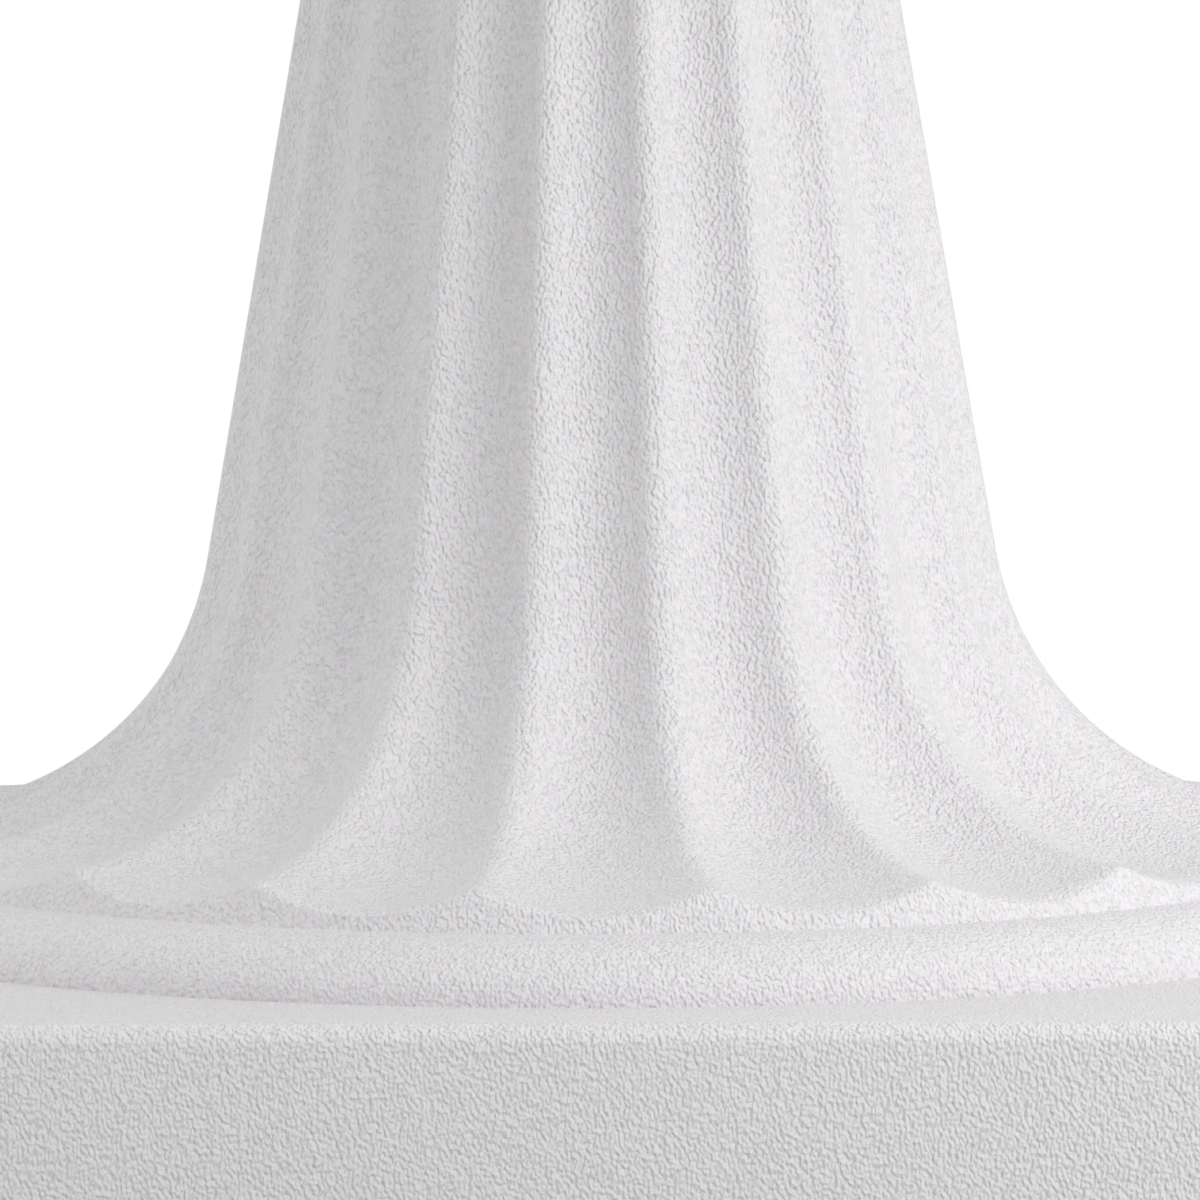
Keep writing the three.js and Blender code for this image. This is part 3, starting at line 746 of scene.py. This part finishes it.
def washer(node, hole, edge):
    """A flat ring with rounded edges: a closed loop, from the bottom of the hole outwards."""
    low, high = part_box(node)
    rim = high.x - edge
    bottom, top = low.z + edge, high.z - edge
    outside = outline(arc((rim, bottom), edge, -90, 0, 5), arc((rim, top), edge, 0, 90, 5))
    inside = outline(arc((hole + edge, top), edge, 90, 180, 4),
                     arc((hole + edge, bottom), edge, 180, 270, 4))
    return turned(outline(outside, inside), 72), True


for node, centre in zip(feet, foot_places):
    place(node, [rubber_foot(node, centre)], rubber)
place("drain_plug", [drain_stopper()], rubber)
place("seal_washer", [washer("seal_washer", ROD_HOLE, 0.6 * MM)], rubber)

# %% [markdown]
# ## Steel fastenings
# A thread is a spiral groove. On a grid of height and angle, the radius of a right-hand thread depends only
# on height / pitch - angle / one turn, so one triangle wave of that sum makes it, and the wave is faded to
# nothing at the ends, where a real rod is chamfered.

# %% Threaded rod, nut and washers
PITCH = 1.25 * MM
ROD_RADIUS = 4 * MM
NUT_BORE = 4.3 * MM
THREAD_DEPTH = 0.7 * MM


def threaded(radius, low, high, depth, pitch, columns=32, per_turn=6, centre=(0.0, 0.0)):
    """A thread between two heights: the radius falls by up to depth along a triangle wave of
    height / pitch - angle / turn, and the last pitch at each end tapers inwards."""
    rows = int((high - low) / pitch * per_turn) + 1
    height = np.linspace(low, high, rows)[:, None]
    angle = full_turn(columns)[None, :]
    phase = (height / pitch - angle / (2 * np.pi)) % 1
    wave = np.abs(2 * phase - 1)
    end = np.clip(np.minimum(height - low, high - height) / pitch, 0, 1)
    return around(radius - depth * np.maximum(wave, 1 - end), angle, height, centre), False


rod_low, rod_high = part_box("tie_rod")
place("tie_rod", [threaded(ROD_RADIUS, rod_low.z, rod_high.z, THREAD_DEPTH, PITCH)], zinc)
for node in ("base_washer", "clamp_washer"):
    place(node, [washer(node, ROD_HOLE, 0.25 * MM)], zinc)


def hexagon(flats, angle):
    """The radius of a hexagon across its flats: half the flats over the cosine of the angle from the
    nearest flat's middle."""
    from_flat = (angle % (np.pi / 3)) - np.pi / 6
    return flats / 2 / np.cos(from_flat)


def hex_nut():
    """A hexagon cut back at both ends by a cone, which leaves the curved bevels of a real nut."""
    low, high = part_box("base_nut")
    flats = high.x - low.x
    chamfer = 0.6 * MM
    ends = np.linspace(0, 1 * MM, 6)
    height = np.concatenate([low.z + ends, high.z - ends[::-1]])[:, None]
    angle = full_turn(180)
    into_end = np.minimum(height - low.z, high.z - height)
    cone = flats / 2 * 0.98 + into_end * 1.9
    side = around(np.minimum(hexagon(flats, angle + np.pi / 6), cone), angle, height)
    inside = turned(outline((NUT_BORE + chamfer, high.z), (NUT_BORE, high.z - chamfer),
                            (NUT_BORE, low.z + chamfer), (NUT_BORE + chamfer, low.z)), 180)
    return np.concatenate([side, inside]), True


place("base_nut", [hex_nut()], zinc)

# %% [markdown]
# ### Wing nut
# It is cast in one: a tapered hub and two wings. A wing is a flattened tube. Its middle line rises away
# from the hub, its height swells and then rounds off at the tip as an ellipse does, and its thickness
# follows. The wings start inside the hub, where the ends don't show.

# %% Wing nut
nut_low, nut_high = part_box("wing_nut")
WING_ROOT = 5.2 * MM
HUB_HEIGHT = 6 * MM


def wing(side):
    """A closed surface: an ellipse carried along a rising line. Both half widths fade at the tip as the
    square root of 1 - s to the fourth, for s along the wing."""
    along = np.linspace(0, 1, 28)[:, None]
    turn = full_turn(24)[None, :]
    tip = np.sqrt(np.clip(1 - along ** 4, 0.0004, None))
    reach = (nut_high.x - 0.1 * MM - WING_ROOT) * along + WING_ROOT
    middle = nut_low.z + 3.4 * MM + 1.7 * MM * along ** 1.3
    tall = (2.3 * MM + 1.5 * MM * along) * tip
    thick = (1.5 * MM - 0.3 * MM * along) * tip
    y = -side * thick * np.sin(turn)
    z = middle + tall * np.cos(turn)
    return np.stack([side * np.broadcast_to(reach, z.shape), y, z], 2), False


def wing_hub():
    """A tapered ring with rounded edges, and a chamfer of 0.4 mm at each end of its bore."""
    low, top = nut_low.z, nut_low.z + HUB_HEIGHT
    foot = arc((7.0 * MM, low + 0.5 * MM), 0.5 * MM, -90, 0, 5)
    shoulder = arc((6.1 * MM, top - 0.8 * MM), 0.8 * MM, 10, 90, 6)
    wide, chamfer = NUT_BORE + 0.4 * MM, 0.4 * MM
    section = outline((wide, low), (7.2 * MM, low), foot, shoulder, (wide, top),
                      (NUT_BORE, top - chamfer), (NUT_BORE, low + chamfer))
    return turned(section, 64), True


place("wing_nut", [wing_hub(), wing(1), wing(-1)], zinc)

# %% [markdown]
# ### Foot screws
# Pan-head screws hold the feet. The cross in the head is a dent: its depth depends on the distance from the
# nearer of two crossed lines, and fades towards the end of each arm.

# %% Foot screws
SCREW_COLUMNS = 96
SHANK_RADIUS = 2 * MM
HEAD_HEIGHT = 1.3 * MM
DOME_HEIGHT = 1.2 * MM
CROSS_HALF_WIDTH = 0.55 * MM
CROSS_REACH = 2.1 * MM
CROSS_DEPTH = 0.7 * MM
POINT_LENGTH = 3 * MM


def foot_screw(node, centre):
    """One closed grid, from the middle of the domed head, up the back of it and along the thread."""
    low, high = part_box(node)
    head, head_top = high.x - centre[0], low.z + HEAD_HEIGHT
    dome = arc((0.0, low.z + DOME_HEIGHT), (head, DOME_HEIGHT), 180, 260, 22)[::-1] * [-1, 1]
    grid = turned(dome, SCREW_COLUMNS, centre)
    away = np.abs(grid[..., :2] - centre)
    across_arm, along_arm = away.min(2), away.max(2)
    dent = np.clip((CROSS_HALF_WIDTH - across_arm) / (0.2 * MM), 0, 1)
    dent *= np.clip((CROSS_REACH - along_arm) / (0.5 * MM), 0, 1)
    grid[..., 2] += CROSS_DEPTH * dent
    back = turned(outline((head, head_top), (SHANK_RADIUS + 0.1 * MM, head_top)), SCREW_COLUMNS, centre)
    thread, _ = threaded(SHANK_RADIUS, head_top, high.z, 0.45 * MM, 1.4 * MM, SCREW_COLUMNS, 8, centre)
    taper = np.clip((high.z - thread[..., 2:]) / POINT_LENGTH, 0.08, 1)
    thread[..., :2] = (thread[..., :2] - centre) * taper + centre
    return np.concatenate([grid, back, thread]), False


for node in [node for node in body_of_node if node.startswith("foot_screw")]:
    low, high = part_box(node)
    place(node, [foot_screw(node, ((low.x + high.x) / 2, (low.y + high.y) / 2))], zinc)

# %% [markdown]
# ## Floor, light and camera
# The floor is a plain pale disc that fades out well before its edge. The world shows as pure white, yet
# lights the urn with less, so the background stays clean and the plastic keeps its shading. A tall strip
# of light on the right rakes across the front and picks out the grain and the flutes. A weaker one on the
# left stands a little behind the urn and draws its edge, and a large one above brightens what faces up.
# The camera stands in front, a little above the foot, and looks slightly down through a long lens.

# %% Floor and world
FLOOR_RADIUS = 0.8
FLOOR_FADES = (0.25, 0.85)


def fading_floor():
    """A disc that is whole out to the first share of its radius, and has faded away at the second."""
    rows, columns = 8, 96
    grid = turned(straight((10 * MM, 0.0), (FLOOR_RADIUS, 0.0), rows), columns)
    points = np.concatenate([grid.reshape(-1, 3), [[0.0, 0.0, 0.0]]])
    middle = fan_of(np.arange(columns), rows * columns, False)
    faces = faces_of(rows, columns, False, 0).tolist() + middle.tolist()
    mesh = bpy.data.meshes.new("floor")
    mesh.from_pydata(points, [], faces)
    floor = bpy.data.objects.new("floor", mesh)
    bpy.context.scene.collection.objects.link(floor)
    material, shader, where = new_material("Matt white paper")
    shader.inputs["Roughness"].default_value = 0.9
    shader.inputs["Specular IOR Level"].default_value = 0.1
    shader.inputs["Base Color"].default_value = linear("#D0D0D0")
    distance = add(material, "ShaderNodeVectorMath", {0: where}, operation="LENGTH").outputs["Value"]
    fade = add(material, "ShaderNodeMapRange", {
        "Value": distance, "From Min": FLOOR_FADES[0] * FLOOR_RADIUS,
        "From Max": FLOOR_FADES[1] * FLOOR_RADIUS, "To Min": 1.0, "To Max": 0.0},
        interpolation_type="SMOOTHSTEP")
    link(material, fade.outputs["Result"], shader, "Alpha")
    mesh.materials.append(material)


WORLD_LIGHT = 0.675


def white_world():
    """Pure white to the camera, and WORLD_LIGHT of that to everything that it lights."""
    world = bpy.data.worlds.new("white room")
    bpy.context.scene.world = world
    world.use_nodes = True
    world.node_tree.nodes.clear()
    seen = add(world, "ShaderNodeBackground", {"Color": (1, 1, 1, 1), "Strength": 1.0})
    light = add(world, "ShaderNodeBackground", {"Color": (1, 1, 1, 1), "Strength": WORLD_LIGHT})
    is_seen = add(world, "ShaderNodeLightPath").outputs["Is Camera Ray"]
    both = add(world, "ShaderNodeMixShader", {0: is_seen, 1: light.outputs[0], 2: seen.outputs[0]})
    add(world, "ShaderNodeOutputWorld", {"Surface": both.outputs[0]})


fading_floor()
white_world()

# %% Lights
foot_middle = Vector((0, 0, stem_low.z + 40 * MM))


def soft_light(name, azimuth, elevation, distance, width, height, power):
    """A softbox aimed at the foot, with its sizes in metres and its power in watts. Azimuth 0 is the
    front and 90 the right, in degrees."""
    a, e = np.radians(azimuth), np.radians(elevation)
    back = Vector((np.sin(a) * np.cos(e), -np.cos(a) * np.cos(e), np.sin(e)))
    light = bpy.data.objects.new(name, bpy.data.lights.new(name, "AREA"))
    light.data.shape, light.data.size, light.data.size_y = "RECTANGLE", width, height
    light.data.energy = power
    light.location = foot_middle + back * distance
    light.rotation_euler = back.to_track_quat("Z", "Y").to_euler()
    bpy.context.scene.collection.objects.link(light)


soft_light("key strip, right", 59, 14, 0.62, 0.30, 0.9, 1.84)
soft_light("rim strip, left", -107, 15, 1.0, 0.5, 1.0, 1.25)
soft_light("top", 10, 80, 1.6, 1.8, 1.8, 7.8)

# %% Camera
CAMERA_DISTANCE = 1.769
CAMERA_ABOVE_PLINTH = 0.1904
CAMERA_AZIMUTH = 0.96
LOOKS_DOWN = 4.641
LOOKS_LEFT = 0.015
CAMERA_ROLL = -0.24


def long_lens_camera():
    """The camera's place is measured from the plinth's top, and its turns are in degrees."""
    camera = bpy.data.objects.new("camera", bpy.data.cameras.new("camera"))
    camera.data.lens, camera.data.sensor_width = 360, 36
    camera.data.clip_start, camera.data.clip_end = 0.1, 20
    azimuth = np.radians(CAMERA_AZIMUTH)
    camera.location = (CAMERA_DISTANCE * np.sin(azimuth), -CAMERA_DISTANCE * np.cos(azimuth),
                       plinth_high.z + CAMERA_ABOVE_PLINTH)
    turns = ((CAMERA_AZIMUTH + LOOKS_LEFT, "Z"), (90 - LOOKS_DOWN, "X"), (CAMERA_ROLL, "Z"))
    pan, tilt, roll = (Matrix.Rotation(np.radians(angle), 4, axis) for angle, axis in turns)
    camera.rotation_euler = (pan @ tilt @ roll).to_euler()
    bpy.context.scene.collection.objects.link(camera)
    bpy.context.scene.camera = camera


long_lens_camera()
bpy.context.scene.view_settings.view_transform = "Standard"
bpy.context.scene.view_settings.look = "None"

# %% [markdown]
# ## Size
# The finer pieces must fill the same box as the imported model.

# %% Finish
bpy.context.view_layer.update()
